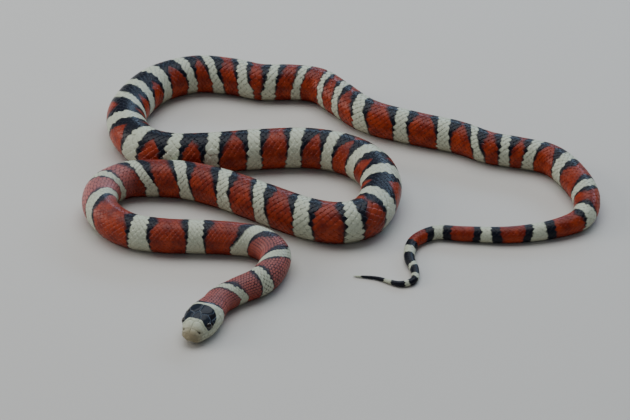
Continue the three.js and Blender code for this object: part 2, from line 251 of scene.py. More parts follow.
# How much longer a scale is than its step, the share of it that lies before its middle, and how
# far its root and its tip lie over the solids' outside, on a body 14 mm wide.
OVERLAP, SCALE_MIDDLE = 1.44, 0.62
ROOT_RIDE, TIP_RIDE = -0.37, -0.3
SCALE_DOME, SCALE_THICK, FULL_GIRTH = 0.025, 0.03, 14
# How much of the change of colour over its own length a scale shows.
OWN_COLOURS, PLATE_COLOURS = 0.6, 0.3
# How loosely the scales lie: along, round and over the body, and in the colour that they take.
LOOSE_ALONG, LOOSE_ROUND, LOOSE_UP, LOOSE_COLOUR = 0.03, 0.02, 0.01, 0.1
# The first scales begin behind the head's plates, at these places forward of the joint. The coat
# is split into meshes at COAT_ENDS.
COAT_FRONT = [(0, 4.3), (0.2, 4.6), (0.34, 6.2), (0.45, 4.9), (0.56, 6.4), (0.7, 6.6), (0.8, 6.6)]
FIRST_SCALES = 8.0
COAT_ENDS = [-20, 40, 110, 190, 270, 350, 430, 510, 600, 800]
# The belly plates: how far they reach under the lowest scales, in turns, their overlap, how far
# their ends sweep back, how far the root lies over the solids' outside and the tip over the root,
# their thickness, how far forward of the joint they begin, and how dark their rims are.
PLATE_MARGIN, PLATE_OVERLAP, PLATE_SWEEP = 0.012, 1.3, 0.1
PLATE_ROOT, PLATE_RISE, PLATE_THICK = -0.36, 0.3, 0.08
FIRST_PLATES, PLATE_NET = 4.0, 0.3

# Colours, as the screen shows them.
RED = (0.63, 0.215, 0.08)
DARK_RED = (0.47, 0.12, 0.035)
BLACK = (0.03, 0.048, 0.10)
CREAM = (0.78, 0.80, 0.715)
DULL_CREAM = (0.60, 0.60, 0.50)
TAN = (0.52, 0.42, 0.27)
# Dark skin between plates and under scales, partly its own colour and partly painted shade; in the mouth and
# nostrils it is painted shade.
GAP_SKIN_AND_SHADE = (0.09, 0.05, 0.06)
NET_LINE = (0.20, 0.11, 0.16)
# Red made pale and greyish: partly the stretched skin's own paleness, partly a painted sheen.
PALE_SHEEN_RED = (0.87, 0.61, 0.60)
# A painted bluish sheen: along the rims of the black cap's plates, and over the black where the pale sheen
# lies.
SEAM_SHEEN = (0.44, 0.50, 0.57)
PUPIL = (0.01, 0.01, 0.012)
IRIS, PALE_IRIS = (0.07, 0.05, 0.045), (0.15, 0.09, 0.06)
FLOOR = (0.80, 0.785, 0.76)
SEED = 11


# The body's own surface.
def between(pairs, place):
    """A smooth value read between pairs of (place, value)."""
    where, value = np.array(pairs, float).T
    run = np.diff(where)
    slope = np.diff(value) / run
    before, after = slope[:-1], slope[1:]
    level = before * after <= 0
    total = np.where(level, 1, before + after)
    ease = np.concatenate([slope[:1], np.where(level, 0, 2 * before * after / total), slope[-1:]])
    i = np.clip(np.searchsorted(where, place, side="right") - 1, 0, len(run) - 1)
    t = np.clip((place - where[i]) / run[i], 0, 1)
    rise = value[i + 1] - value[i]
    a, b = ease[i] * run[i], ease[i + 1] * run[i]
    return value[i] + t * (a + t * ((3 * rise - 2 * a - b) + t * (a + b - 2 * rise)))


def ramp(low, high, value):
    """Nought below low, one above high, and a smooth rise between them."""
    t = np.clip((value - low) / (high - low), 0, 1)
    return t * t * (3 - 2 * t)


def bell(value, reach):
    return np.exp(-((value / reach) ** 2))


def backbone():
    """The curve that the backbone follows on the floor: places along it and its points."""
    points = np.array(ROUTE, float)
    points = np.vstack([2 * points[0] - points[1], points, 2 * points[-1] - points[-2]])
    share = np.linspace(0, 1, ROUTE_STEPS, endpoint=False)[:, None]
    curve = []
    for p0, p1, p2, p3 in zip(points, points[1:], points[2:], points[3:]):
        d0, d1, d2 = (np.sqrt(np.hypot(*(b - a))) for a, b in ((p0, p1), (p1, p2), (p2, p3)))
        leave = d1 * ((p1 - p0) / d0 - (p2 - p0) / (d0 + d1) + (p2 - p1) / d1)
        reach = d1 * ((p2 - p1) / d1 - (p3 - p1) / (d1 + d2) + (p3 - p2) / d2)
        curve.append(
            p1 + leave * share
            + (3 * (p2 - p1) - 2 * leave - reach) * share**2
            + (2 * (p1 - p2) + leave + reach) * share**3
        )
    curve = np.vstack(curve + [points[-2:-1]])
    return np.concatenate([[0], np.cumsum(np.hypot(*np.diff(curve, axis=0).T))]), curve


SPINE_PLACES, SPINE = backbone()
BODY_LENGTH = SPINE_PLACES[-1]
HEAD_STATIONS = -HEAD_LENGTH * np.sin(np.linspace(1, 0, HEAD_RINGS + 1) * np.pi / 2)
BODY_STATIONS = np.linspace(0, BODY_LENGTH, BODY_RINGS)[1:]
STATIONS = np.concatenate([HEAD_STATIONS, BODY_STATIONS])
TURNS = np.linspace(-1, 1, PLACES_ROUND)


def spine_at(station):
    """The backbone's spot, and its way there from a little behind to a little ahead."""
    spot, ahead, behind = (
        np.stack([np.interp(station + away, SPINE_PLACES, SPINE[:, k]) for k in (0, 1)], -1)
        for away in (0, 0.6, -0.6)
    )
    way = ahead - behind
    return spot, way / np.hypot(way[..., 0], way[..., 1])[..., None]


NAPE, NAPE_WAY = (a[0] for a in spine_at(np.array([0.0])))


def slice_points(width, bottom, top, square):
    """One slice's outline at TURNS, evenly spaced from belly to back to belly."""
    angle = np.linspace(np.pi / 2, -np.pi / 2, 721)
    bend = lambda v: np.sign(v) * np.abs(v) ** square
    middle = LOAF_MIDDLE * (top - bottom)
    lift = bend(np.sin(angle))
    up = np.where(lift > 0, middle + (top - bottom - middle) * lift, middle * (1 + LOAF_BELLY * lift))
    up = np.maximum(up, 0)
    across = width / 2 * bend(np.cos(angle))
    run = np.concatenate([[0], np.cumsum(np.hypot(np.diff(across), np.diff(up)))])
    share = np.abs(TURNS) * run[-1]
    return np.sign(TURNS) * np.interp(share, run, across), bottom + np.interp(share, run, up)


def lean_at(forward):
    return LEAN * ramp(0, LEAN_FORWARD, forward)


def leaned(forward, across, up):
    """Where a spot of the upright head lies once the head leans to the animal's right."""
    lean = lean_at(forward)
    return across - lean * up, up + lean * across * np.minimum(up / LEAN_HEIGHT, 1)


def surface_table():
    """Points and outward directions over the whole animal, and how far apart its rings are there
    for each millimetre of the backbone."""
    points = np.zeros((len(STATIONS), len(TURNS), 3))
    for k, station in enumerate(STATIONS):
        if station < 0:
            x = -station
            sizes = [between(table, x) for table in (HEAD_WIDTHS, HEAD_BOTTOMS, HEAD_TOPS, HEAD_SQUARENESS)]
            spot, way = NAPE + NAPE_WAY * station, NAPE_WAY
        else:
            girth = between(GIRTH, station)
            sizes = [girth, 0.0, girth * BODY_RISE, 1.0]
            spot, way = (a[0] for a in spine_at(np.array([station])))
        across, up = leaned(-station, *slice_points(*sizes))
        points[k, :, 0] = spot[0] + way[1] * across
        points[k, :, 1] = spot[1] - way[0] * across
        points[k, :, 2] = up
    along = np.gradient(points, STATIONS, axis=0)
    around = np.gradient(points, TURNS, axis=1)
    around[:, 0] = around[:, -1] = (around[:, 0] + around[:, -1]) / 2
    outward = np.cross(around, along)
    if outward[len(STATIONS) // 2, len(TURNS) // 2, 2] < 0:
        outward = -outward
    outward /= np.linalg.norm(outward, axis=2, keepdims=True) + 1e-12
    stretch = np.linalg.norm(along, axis=2)
    return points, outward, stretch


SURFACE, OUTWARD, STRETCH = surface_table()


def read(table, station, turn):
    """A table's value at any place, straight between its four neighbours."""
    i = np.interp(station, STATIONS, np.arange(len(STATIONS)))
    j = (np.clip(turn, -1, 1) + 1) / 2 * (len(TURNS) - 1)
    i0 = np.minimum(i.astype(int), len(STATIONS) - 2)
    j0 = np.minimum(j.astype(int), len(TURNS) - 2)
    a, b = i - i0, j - j0
    if table.ndim == 3:
        a, b = a[..., None], b[..., None]
    low = table[i0, j0] * (1 - b) + table[i0, j0 + 1] * b
    high = table[i0 + 1, j0] * (1 - b) + table[i0 + 1, j0 + 1] * b
    return low * (1 - a) + high * a


def on_body(station, turn, lift):
    """Points at a height over the animal's outside, in millimetres, never under the floor."""
    station, turn, lift = np.broadcast_arrays(station, turn, lift)
    spot = read(SURFACE, station, turn) + read(OUTWARD, station, turn) * lift[..., None]
    spot[..., 2] = np.maximum(spot[..., 2], 0.0)
    return spot


def in_head(spot):
    """Forward from the head's joint, to the animal's left and up, with the lean taken out."""
    away = spot[..., :2] - NAPE
    forward = -(away @ NAPE_WAY)
    across = away @ np.array([NAPE_WAY[1], -NAPE_WAY[0]])
    lean, up = lean_at(forward), spot[..., 2]
    up = up - lean * across * np.minimum(up / LEAN_HEIGHT, 1)
    return forward, across + lean * up, up


# Markings.
def ring_markings(station, turn):
    """How much black and cream the trunk and tail show at each place."""
    cream = np.zeros(station.shape)
    black = np.zeros(station.shape)
    side = np.abs(turn)
    fall = between(BLACK_FALL, side)
    flare = between(RING_FLARE, side)
    bend = np.clip(turn, -RING_BEND, RING_BEND)
    blur = SOFT + BLACK_BLUR * bell(side, BLUR_REACH)
    for place, slant, breadth, before, after in RINGS:
        away = station - place - slant * bend
        half = breadth / 2 * flare
        cream = np.maximum(cream, 1 - ramp(half - SOFT, half + SOFT, np.abs(away)))
        reach = np.where(away < 0, before, after)
        if place > TAIL_BLACK:
            reach, soft = half + reach, SOFT
        else:
            reach, soft = half + THIN_EDGE + reach * fall, blur
        black = np.maximum(black, 1 - ramp(reach - soft, reach + soft, np.abs(away)))
    return np.maximum(black, DUSK * bell(side, DUSK_REACH)) * (1 - cream), cream


def markings(station, turn):
    """Red, black, cream and tan all over the animal, head included."""
    black, cream = ring_markings(station, turn)
    side = np.abs(turn)
    forward = -station
    step = lambda place, soft=SOFT: ramp(place - soft, place + soft, forward)
    nape_end = between(NAPE_BACK, turn)
    on_head = step(nape_end)
    rim = step(nape_end - between(NAPE_BLACK, turn)) * (1 - on_head)
    # The cap's edge runs steeply along the cheek, so it is softened more there.
    cap = step(between(CAP_BACK, side), SOFT * (1 + 2.5 * ramp(0.25, 0.42, side)))
    cap = cap * (1 - step(between(CAP_FRONT, side)))
    cap = np.where(side < CAP_BACK[-1][0], cap, 0)
    dark = np.maximum(rim, cap)
    black = np.maximum(black * (1 - on_head), dark)
    pale = np.maximum(cream * (forward < 0), on_head) * (1 - dark)
    lips = ramp(0.4, 0.75, side)
    tan = pale * np.maximum(SNOUT_TAN * ramp(TAN_FROM, TAN_TO, forward), LIP_TAN * lips)
    red = np.clip(1 - black - pale, 0, 1)
    return np.stack([red, black, pale - tan, tan], -1)


# The head's relief.
def inside_by(outline, x, y):
    """How far inside a flat outline each point lies, below nought outside it."""
    near = np.full(x.shape, np.inf)
    inside = np.zeros(x.shape, bool)
    for (x0, y0), (x1, y1) in zip(outline, outline[1:] + outline[:1]):
        run, rise = x1 - x0, y1 - y0
        along = np.clip(((x - x0) * run + (y - y0) * rise) / (run**2 + rise**2), 0, 1)
        near = np.minimum(near, np.hypot(x - x0 - along * run, y - y0 - along * rise))
        if y0 != y1:
            inside ^= ((y0 > y) != (y1 > y)) & (x < x0 + (y - y0) * run / rise)
    return np.where(inside, near, -near)


def in_plate(x, y, z, above, facing):
    """How far inside one of the head's plates each spot lies, below nought between them."""
    side = np.abs(y)
    crown = facing > 0.3
    cheek = (facing < 0.86) & (side > 1.6)
    chin = facing < -0.55
    found = [(crown, inside_by(FRONTAL_PLATE, x, y))]
    found += [(crown, inside_by(outline, x, side)) for outline in CROWN_PLATES.values()]
    found += [(cheek, inside_by(outline, x, z)) for outline in CHEEK_PLATES.values()]
    found += [(chin, inside_by(outline, x, side)) for outline in CHIN_PLATES.values()]
    for cuts, up in ((UPPER_LIP_CUTS, above), (LOWER_LIP_CUTS, -above - 0.08)):
        place = x + LIP_LEAN * up
        height = np.minimum(up - 0.02, LIP_HEIGHT - up)
        for front, back in zip(cuts, cuts[1:]):
            length = np.minimum(front - LIP_GROOVE - place, place - back - LIP_GROOVE)
            found.append((side > 1.2, np.minimum(length, height)))
    nose = np.minimum(1.45 - 0.75 * above - side, np.minimum(1.5 - above, above - 0.05))
    found.append((x > NOSE_PLATE_FROM, nose))
    plate = np.full(x.shape, -1.0)
    for where, depth in found:
        plate = np.where(where, np.maximum(plate, depth), plate)
    return plate


def head_relief(station, turn):
    """Lift of the skin over the solids' outside on the head, and how much each spot lies in a groove between
    plates, in the mouth or a nostril, and on the rim of a plate: the masks of the darkened grooves, the
    painted shade in mouth and nostril, and the painted sheen on plate rims."""
    x, y, z = in_head(read(SURFACE, station, turn))
    side = np.abs(y)
    above = z - between(MOUTH_LINE, np.clip(x, MOUTH_CORNER, HEAD_LENGTH))
    plate = in_plate(x, y, z, above, read(OUTWARD, station, turn)[..., 2])
    raised = ramp(-GROOVE * 0.4, GROOVE * 0.7, plate)
    puff = PLATE_PUFF * ramp(0, 0.7, plate)
    # Low at the snout's tip, and sloping in under the first scales at the nape.
    tip = ramp(17, 18.5, x)
    nape = ramp(4.3, 6.8, x - ramp(0.5, 0.7, np.abs(turn)))
    lift = (PLATE_RAISE * raised + puff) * nape * (1 - 0.6 * tip) - 0.09 * tip
    lift = lift - SKIN_DEPTH * (1 - ramp(3.2, 5.8, x))
    # The mouth: a narrow cut, with the lower jaw set in under the upper lip.
    has_mouth = ramp(MOUTH_CORNER - 0.3, MOUTH_CORNER + 0.3, x)
    lift = lift - JAW_INSET * ramp(0.05, -0.12, above) * has_mouth
    cut = bell(above + 0.03, 0.13) * has_mouth
    lift = lift - MOUTH_DEPTH * cut
    # The eye's opening with a low rim round it, and the nostril.
    to_eye = np.hypot(x - EYE_AT[0], z - EYE_AT[2]) - EYE_OPENING
    socket = 0.1 * bell(to_eye - 0.18, 0.14) - 0.9 * (1 - ramp(-0.16, 0.04, to_eye))
    lift = lift + np.where(side > 2.5, socket, 0)
    to_nostril = np.hypot(x - NOSTRIL_AT[0], (z - NOSTRIL_AT[2]) * 0.85)
    pit = np.where(side > 2.2, bell(to_nostril, NOSTRIL_RADIUS), 0)
    lift = lift - 0.6 * pit
    return lift, np.clip(1 - raised, 0, 1), np.clip(cut + 1.2 * pit, 0, 1), bell(plate + 0.08, 0.1)


# Meshes.
def attribute(mesh, name, kind, values):
    made = mesh.attributes.new(name, kind, "POINT")
    field = {"FLOAT_COLOR": "color", "FLOAT": "value"}[kind]
    made.data.foreach_set(field, np.asarray(values, np.float32).ravel())


def finished(mesh, name, material):
    """An object for a mesh whose place is in its points, riding on the one body."""
    piece = bpy.data.objects.new(name, mesh)
    bpy.context.scene.collection.objects.link(piece)
    mesh.materials.append(material)
    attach(piece, "root")
    return piece


def tube(sides, stations):
    """A tube of quads from bmesh, and the station and turn of each of its points."""
    bm = bmesh.new()
    bmesh.ops.create_grid(bm, x_segments=len(stations) - 1, y_segments=sides, size=1)
    x = np.array([v.co.x for v in bm.verts])
    turn = np.array([v.co.y for v in bm.verts])
    ring = np.rint((x + 1) / 2 * (len(stations) - 1)).astype(int)
    return bm, np.asarray(stations)[ring], turn


def head_lift(station, turn):
    return head_relief(station, turn)[0]


def body_lift(station, turn):
    """The skin lies under the roots of the scales, and comes out at the cone on the tail's tip."""
    depth = SKIN_DEPTH * np.clip(between(GIRTH, station) / 6, 0.3, 1)
    from_end = np.clip((BODY_LENGTH - station) / CONE_LENGTH, 0, 1)
    return -depth * ramp(0.6, 1, from_end) - CONE_TAPER * (1 - from_end) ** 1.3


def make_skin(material):
    """One closed skin from the snout to the tail tip."""
    head = HEAD_STATIONS[HEAD_STATIONS < -COLLAR - 0.2]
    collar = [-COLLAR + 0.6, -COLLAR + 1.4, -COLLAR + 2.2]
    body = np.arange(0, BODY_LENGTH - CONE_LENGTH, SKIN_STEP)
    cone = BODY_LENGTH - CONE_LENGTH * np.array([1, 0.75, 0.5, 0.3, 0.15, 0.05, 0])
    body = np.concatenate([collar, body, cone])
    whole = bmesh.new()
    place = whole.verts.layers.float.new("station")
    way_round = whole.verts.layers.float.new("turn")
    for sides, stations, lift_at in ((HEAD_SIDES, head, head_lift), (BODY_SIDES, body, body_lift)):
        part, station, turn = tube(sides, stations)
        spots = on_body(station, turn, lift_at(station, turn))
        mesh = bpy.data.meshes.new("tube")
        part.to_mesh(mesh)
        part.free()
        mesh.vertices.foreach_set("co", spots.ravel())
        start = len(whole.verts)
        whole.from_mesh(mesh)
        bpy.data.meshes.remove(mesh)
        whole.verts.ensure_lookup_table()
        for v, s, t in zip(whole.verts[start:], station, turn):
            v[place], v[way_round] = s, t
    seam = [v for v in whole.verts if abs(abs(v[way_round]) - 1) < 1e-6]
    bmesh.ops.remove_doubles(whole, verts=seam, dist=1e-5)
    rims = [e for e in whole.edges if e.is_boundary]
    neck = [e for e in rims if all(abs(v[place] + COLLAR) < COLLAR_GAP for v in e.verts)]
    bmesh.ops.bridge_loops(whole, edges=neck)
    tips = [e for e in whole.edges if e.is_boundary]
    bmesh.ops.holes_fill(whole, edges=tips, sides=0)
    bmesh.ops.recalc_face_normals(whole, faces=whole.faces)
    for face in whole.faces:
        face.smooth = True
    mesh = bpy.data.meshes.new("skin")
    whole.to_mesh(mesh)
    station = np.array([v[place] for v in whole.verts])
    turn = np.array([v[way_round] for v in whole.verts])
    whole.free()
    mesh.transform(Matrix.Scale(MM, 4))
    paint_skin(mesh, station, turn)
    unwrap_skin(mesh, station, turn)
    return finished(mesh, "skin", material)


def paint_skin(mesh, station, turn):
    """The markings, and the relief as groove, painted shade of mouth and nostril, and painted sheen on the
    black cap's plate rims. Under the coat the skin is darkened all over, partly its own darker colour and
    partly painted shade.
    """
    on_head = station < -COLLAR
    in_coat = station < BODY_LENGTH - CONE_LENGTH
    groove, deep_shade, rim = (np.where(on_head, part, in_coat) for part in head_relief(station, turn)[1:])
    colours = markings(station, turn)
    attribute(mesh, "Markings", "FLOAT_COLOR", colours)
    # A painted sheen along the rims of the black cap's plates.
    seam = rim * colours[:, 1] * on_head
    attribute(mesh, "Relief", "FLOAT_COLOR", np.stack([groove, deep_shade, seam, np.ones_like(seam)], -1))


def unwrap_skin(mesh, station, turn):
    """The head on the left half of the map, the body in rows on the right half."""
    corner = np.zeros(len(mesh.loops), int)
    mesh.loops.foreach_get("vertex_index", corner)
    s, t = station[corner], turn[corner].copy()
    face = np.repeat(np.arange(len(mesh.polygons)), [p.loop_total for p in mesh.polygons])
    total = np.bincount(face)
    # A corner on the seam takes the side that its face lies on.
    at_seam = np.abs(t) > 0.999
    mean_side = np.bincount(face, t * ~at_seam) / total
    t = np.where(at_seam, np.sign(mean_side[face]) * np.abs(t), t)
    mean_place = np.bincount(face, s) / total
    to_row = MAP_ROWS / (BODY_LENGTH + MAP_SPLIT)
    row = np.clip(((mean_place[face] + MAP_SPLIT) * to_row).astype(int), 0, MAP_ROWS - 1)
    u_body = 0.5 + MAP_EDGE + MAP_HALF * ((s + MAP_SPLIT) * to_row - row)
    v_body = (row + MAP_ROW_EDGE + (1 - 2 * MAP_ROW_EDGE) * (t + 1) / 2) / MAP_ROWS
    u_head = MAP_EDGE + MAP_HALF * (-s - COLLAR) / (HEAD_LENGTH - COLLAR)
    v_head = MAP_EDGE + (1 - 2 * MAP_EDGE) * (t + 1) / 2
    head = mean_place[face] < -MAP_SPLIT
    flat = np.stack([np.where(head, u_head, u_body), np.where(head, v_head, v_body)], -1)
    mesh.uv_layers.new(name="OFBake").data.foreach_set("uv", flat.astype(np.float32).ravel())


def leaf(along, across, half_width, tip_round):
    """A closed thin plate on a grid: its points as (along 0..1, across -1..1, top 1 or under 0)."""
    bm = bmesh.new()
    bmesh.ops.create_grid(bm, x_segments=along, y_segments=across, size=1)
    top = list(bm.faces)
    for v in bm.verts:
        v.co.z = 1
    made = bmesh.ops.extrude_face_region(bm, geom=top, use_keep_orig=True)
    under = [g for g in made["geom"] if isinstance(g, bmesh.types.BMVert)]
    for v in under:
        v.co.z = 0
    bm.faces.ensure_lookup_table()
    low = [f for f in bm.faces if all(v.co.z == 0 for v in f.verts)]
    bmesh.ops.dissolve_faces(bm, faces=low, use_verts=True)
    bmesh.ops.recalc_face_normals(bm, faces=bm.faces)
    bm.verts.index_update()
    x = np.array([(v.co.x + 1) / 2 for v in bm.verts])
    y = np.array([v.co.y for v in bm.verts])
    z = np.array([v.co.z for v in bm.verts])
    faces = [[v.index for v in f.verts] for f in bm.faces]
    bm.free()
    wide = between(half_width, x)
    return np.stack([x - tip_round * x * y * y, y * wide, z, y], -1), faces


def joined(name, spots, faces, count):
    """One mesh of many like plates, from the points of all and the faces of one."""
    per = spots.shape[1]
    sizes = np.array([len(f) for f in faces])
    corners = np.concatenate(faces)
    loops = (corners[None] + np.arange(count)[:, None] * per).ravel()
    totals = np.tile(sizes, count)
    starts = np.concatenate([[0], np.cumsum(totals)[:-1]])
    mesh = bpy.data.meshes.new(name)
    mesh.vertices.add(count * per)
    mesh.loops.add(len(loops))
    mesh.polygons.add(len(totals))
    mesh.vertices.foreach_set("co", (spots * MM).astype(np.float32).ravel())
    mesh.loops.foreach_set("vertex_index", loops.astype(np.int32))
    mesh.polygons.foreach_set("loop_start", starts.astype(np.int32))
    mesh.polygons.foreach_set("loop_total", totals.astype(np.int32))
    mesh.update(calc_edges=True)
    mesh.validate()
    mesh.polygons.foreach_set("use_smooth", np.ones(len(totals), bool))
    return mesh


def own_places(mesh, along, edge, paleness_and_sheen, net):
    """How far along and across its plate each point lies, and the plate's paleness with its painted sheen,
    and its net.
    """
    shape = (len(net), len(along))
    parts = [np.broadcast_to(p, shape) for p in (along, edge, paleness_and_sheen[:, None], net[:, None])]
    attribute(mesh, "Place", "FLOAT_COLOR", np.stack(parts, -1).reshape(-1, 4))
    return parts[0], parts[1]


def patches(mesh, place, start, end, v, local_u, local_v):
    """Every plate as a small patch at its root's place on a map of its length of the animal."""
    start, end = max(start, -FIRST_SCALES), min(end, BODY_LENGTH)
    u = MAP_EDGE + (1 - 2 * MAP_EDGE) * (place - start) / (end - start)
    u = u[:, None] + (local_u - 0.5) * PATCH
    v = v[:, None] + local_v * PATCH / 2
    corner = np.zeros(len(mesh.loops), int)
    mesh.loops.foreach_get("vertex_index", corner)
    flat = np.clip(np.stack([u.ravel()[corner], v.ravel()[corner]], -1), 0, 1)
    mesh.uv_layers.new(name="OFBake").data.foreach_set("uv", flat.astype(np.float32).ravel())


def steps_along(start, end):
    """Places one scale's step apart, and the steps."""
    places = [start]
    while places[-1] < end:
        places.append(places[-1] + float(between(STEP, places[-1])))
    places = np.array(places)
    return places, between(STEP, places)


def size_at(place):
    """How large a plate is beside one on the full girth."""
    return np.clip(between(GIRTH, np.maximum(place, 0)) / FULL_GIRTH, 0.25, 1)


def faded(start, end, loss, turn):
    """The share of a strength that is left at a turn."""
    return 1 - loss * ramp(start, end, np.abs(turn))


def scale_lattice():
    """Every back scale's middle: place along, turn, step, row width in turns."""
    places, steps = steps_along(-FIRST_SCALES, BODY_LENGTH - 0.8)
    most = math.ceil(ROWS_EACH_SIDE[0][1]) + 1
    found = []
    for row in range(-most, most + 1):
        place = places + (steps / 2 if row % 2 else 0)
        rows = between(ROWS_EACH_SIDE, place)
        turn = row * BACK_SHARE / rows
        keep = (np.abs(turn) < BACK_SHARE + 0.25 / rows) & (place < BODY_LENGTH - 1.3)
        keep &= -place < between(COAT_FRONT, np.abs(turn))
        found.append(np.stack([place, turn, steps, BACK_SHARE / rows], -1)[keep])
    return np.vstack(found)


def make_back_scales(draw, material):
    """All back scales, in one mesh for each length of the animal."""
    middles = scale_lattice()
    shape, faces = leaf(5, 4, SCALE_OUTLINE, SCALE_TIP)
    along, across, top, edge = shape.T
    dome = SCALE_DOME * (1 - edge**2) * np.sin(np.pi * np.clip(along, 0, 1)) ** 0.8
    for k, (start, end) in enumerate(zip(COAT_ENDS, COAT_ENDS[1:])):
        own = middles[(middles[:, 0] >= start) & (middles[:, 0] < end)]
        place, turn, step, wide = own.T
        count = len(own)
        fill = between(FILL, place)
        stretch = np.clip(read(STRETCH, place, turn), 0.45, 2.0)
        long = step * OVERLAP * fill * stretch**-0.5
        size = size_at(place)
        place = place + draw.normal(0, LOOSE_ALONG, count) * step
        turn_here = turn + draw.normal(0, LOOSE_ROUND, count) * wide
        s = place[:, None] + (along - SCALE_MIDDLE) * long[:, None]
        t = turn_here[:, None] + across * (wide * fill)[:, None]
        ride = ROOT_RIDE + (TIP_RIDE - ROOT_RIDE) * along + draw.normal(0, LOOSE_UP, count)[:, None]
        lift = (ride + dome * top - SCALE_THICK * (1 - top)) * size[:, None]
        name = f"back_scales_{k + 1}"
        mesh = joined(name, on_body(np.minimum(s, BODY_LENGTH), t, lift), faces, count)
        seen_s = place[:, None] + (s - place[:, None]) * OWN_COLOURS
        seen_s = seen_s + draw.normal(0, LOOSE_COLOUR, count)[:, None]
        seen_t = turn[:, None] + (t - turn[:, None]) * OWN_COLOURS
        attribute(mesh, "Markings", "FLOAT_COLOR", markings(seen_s, seen_t).reshape(-1, 4))
        net = between(NET, place) * faded(*NET_FADE, turn)
        # The neck and the first bend are paler: partly stretched skin, partly a painted sheen that fades
        # down the sides.
        paleness_and_sheen = between(PALENESS_AND_SHEEN, place) * faded(*PALENESS_AND_SHEEN_FADE, turn)
        local_u, local_v = own_places(mesh, along, edge, paleness_and_sheen, net)
        patches(mesh, place, start, end, (turn + 1) / 2, local_u, local_v)
        finished(mesh, name, material)


def make_belly_plates(material):
    """The wide plates under the trunk, and the paired ones under the tail."""
    places, steps = steps_along(-FIRST_PLATES, BODY_LENGTH - 2)
    shape, faces = leaf(3, 12, [(0, 0.99), (1, 1.0)], 0.0)
    along, across, top, edge = shape.T
    reach = (1 - BACK_SHARE) + PLATE_MARGIN
    for name, centres, half, keep in (
        ("belly_plates", [0.0], 1.0, places < VENT),
        ("tail_plates", [-0.5, 0.5], 0.49, places >= VENT),
    ):
        place, step = (np.tile(part[keep], len(centres)) for part in (places, steps))
        centre = np.repeat(centres, keep.sum())
        count = len(place)
        v = centre[:, None] + across * half
        t = np.where(v >= 0, 1 - reach * np.abs(v), -1 + reach * np.abs(v))
        own_s = (along - 0.6 - PLATE_SWEEP * edge**2) * (step * PLATE_OVERLAP)[:, None]
        s = place[:, None] + own_s
        lift = (PLATE_ROOT + PLATE_RISE * along - PLATE_THICK * (1 - top)) * size_at(place)[:, None]
        mesh = joined(name, on_body(np.minimum(s, BODY_LENGTH), t, lift), faces, count)
        seen_t = np.sign(t) * np.minimum(np.abs(t), 0.9)
        colours = markings(place[:, None] + own_s * PLATE_COLOURS, seen_t)
        attribute(mesh, "Markings", "FLOAT_COLOR", colours.reshape(-1, 4))
        local_u, local_v = own_places(mesh, along, edge, np.zeros(count), np.full(count, PLATE_NET))
        patches(mesh, place, -FIRST_PLATES, BODY_LENGTH, 0.5 + centre * 0.2, local_u, local_v)
        finished(mesh, name, material)


def make_eye(side, material):
    """One eyeball, its pole turned outwards, with the pupil's distance kept on its points."""
    bm = bmesh.new()
    bmesh.ops.create_uvsphere(bm, u_segments=40, v_segments=28, radius=EYE_RADIUS)
    from_pole = [math.acos(max(-1, min(1, v.co.z / EYE_RADIUS))) for v in bm.verts]
    bmesh.ops.scale(bm, vec=(1, 1, EYE_FLATNESS), verts=bm.verts)
    for face in bm.faces:
        face.smooth = True
    mesh = bpy.data.meshes.new("eye")
    bm.to_mesh(mesh)
    bm.free()
    ahead = Vector((-NAPE_WAY[0], -NAPE_WAY[1], 0))
    outwards = Vector((NAPE_WAY[1], -NAPE_WAY[0], 0)) * side
    upwards = Vector((0, 0, 1))
    look = (ahead * EYE_LOOK[0] + outwards * EYE_LOOK[1] + upwards * EYE_LOOK[2]).normalized()
    across, up = leaned(EYE_AT[0], side * EYE_AT[1], EYE_AT[2])
    centre = Vector((*NAPE, up)) + ahead * EYE_AT[0] + outwards * side * across
    mesh.transform(Matrix.Translation(centre) @ look.to_track_quat("Z", "Y").to_matrix().to_4x4())
    mesh.transform(Matrix.Scale(MM, 4))
    attribute(mesh, "Pupil", "FLOAT", from_pole)
    which = "left" if side > 0 else "right"
    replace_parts(finished(mesh, f"eyeball_{which}", material), f"eye_{which}")


# Materials.
class Wire:
    """One value in a material, so that a sum of values is written as a sum."""

    def __init__(self, paint, socket):
        self.paint, self.socket = paint, socket

    def maths(self, operation, *others):
        sockets = dict(enumerate([self, *others]))
        return self.paint.node("ShaderNodeMath", {"operation": operation}, sockets)

    def __add__(self, other):
        return self.maths("ADD", other)

    def __mul__(self, other):
        return self.maths("MULTIPLY", other)

    def __sub__(self, other):
        return self.maths("SUBTRACT", other)

    def __rsub__(self, other):
        return Wire(self.paint, other).maths("SUBTRACT", self)

    def __truediv__(self, other):
        return self.maths("DIVIDE", other)

    __radd__ = __add__
    __rmul__ = __mul__

    def size(self):
        return self.maths("ABSOLUTE")

    def clipped(self):
        """The same value, held between nought and one."""
        made = self.maths("ADD", 0.0)
        made.socket.node.use_clamp = True
        return made

    def rise(self, low, high):
        """Nought below low and one above high."""
        sockets = {"Value": self, "From Min": low, "From Max": high}
        return self.paint.node("ShaderNodeMapRange", {"interpolation_type": "SMOOTHSTEP"}, sockets)


